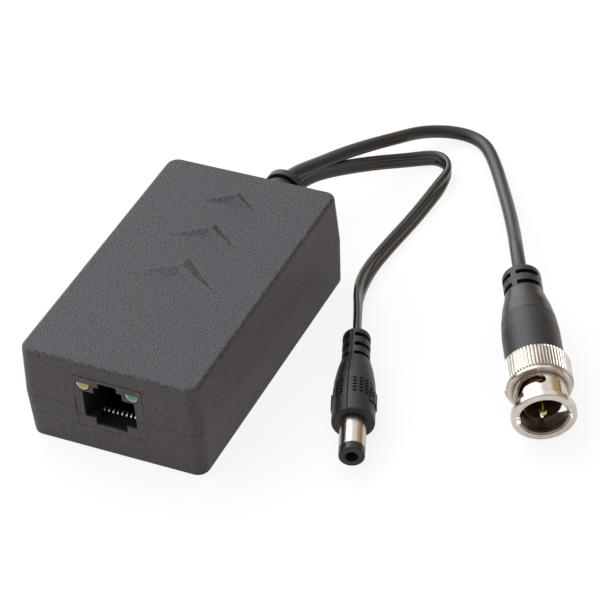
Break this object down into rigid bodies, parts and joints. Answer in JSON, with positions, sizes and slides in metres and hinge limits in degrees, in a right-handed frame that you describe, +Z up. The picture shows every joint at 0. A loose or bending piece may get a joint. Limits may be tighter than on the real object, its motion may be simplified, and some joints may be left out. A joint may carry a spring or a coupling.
{
  "type": "video balun",
  "caption": "Small moulded video balun with a network socket at one end and, at the other, a strain relief with a coax lead to a bayonet plug and a power lead to a barrel plug.",
  "frame": {"origin": "middle of the housing's underside", "axes": "+Y along the housing from the network socket to the leads, +Z up through the cover, +X to the side where the leads lie"},
  "size_m": [0.1067, 0.1267, 0.0238],
  "materials": {
    "case_plastic": "fine matt grain",
    "jack_plastic": "satin",
    "carrier_plastic": "satin",
    "gilt": "bright",
    "lamp_yellow": "clear tinted",
    "lamp_green": "clear tinted",
    "board": "lacquered",
    "zinc_steel": "plated",
    "ferrite": "matt",
    "copper_winding": "enamelled",
    "ceramic_body": "glazed",
    "blue_ceramic": "lacquered",
    "amber_coating": "lacquered",
    "can_sleeve": "shrink sleeve",
    "black_vinyl": "satin",
    "lead_vinyl": "smooth satin",
    "nickel": "bright nickel plate",
    "black_insulator": "satin",
    "seal_rubber": "smooth"
  },
  "bodies": {
    "housing": {"top_cover": "case_plastic", "bottom_case": "case_plastic", "case_screws": "zinc_steel", "circuit_board": "board", "jack_housing": "jack_plastic", "jack_carrier": "carrier_plastic", "jack_contacts": "gilt", "led_yellow": "lamp_yellow", "led_green": "lamp_green", "balun_core": "ferrite", "balun_windings": "copper_winding", "surge_arresters": "ceramic_body", "power_choke": "ferrite", "filter_capacitor": "can_sleeve", "chip_resistors": "ceramic_body", "resettable_fuse": "amber_coating", "signal_capacitors": "blue_ceramic", "strain_relief": "black_vinyl", "coax_tail": "lead_vinyl", "power_wires": "lead_vinyl", "coax_cable": "lead_vinyl", "power_lead": "lead_vinyl", "bnc_body": "nickel", "bnc_insulator": "black_insulator", "bnc_centre_pin": "gilt", "bnc_gasket": "seal_rubber", "bnc_crimp_sleeve": "nickel", "bnc_wave_washer": "zinc_steel", "bnc_boot": "black_vinyl", "dc_boot": "black_vinyl", "dc_barrel": "nickel", "dc_insulator": "black_insulator", "dc_inner_contact": "nickel"},
    "nut_washer": {"bnc_thrust_washer": "nickel"},
    "coupling_nut": {"bnc_coupling_nut": "nickel", "bnc_retaining_ring": "zinc_steel"}
  },
  "joints": [
    {"name": "nut_pull", "type": "slide", "parent": "housing", "child": "nut_washer", "axis": [0.4631, -0.8801, -0.1045], "range_m": [0, 0.0005], "stiffness_N_per_m": 4000, "springref_m": -0.0003, "deforming": ["bnc_wave_washer"]},
    {"name": "nut_turn", "type": "hinge", "parent": "nut_washer", "child": "coupling_nut", "pos_m": [0.07574, 0.00821, 0.00787], "axis": [0.4631, -0.8801, -0.1045], "continuous": true}
  ]
}
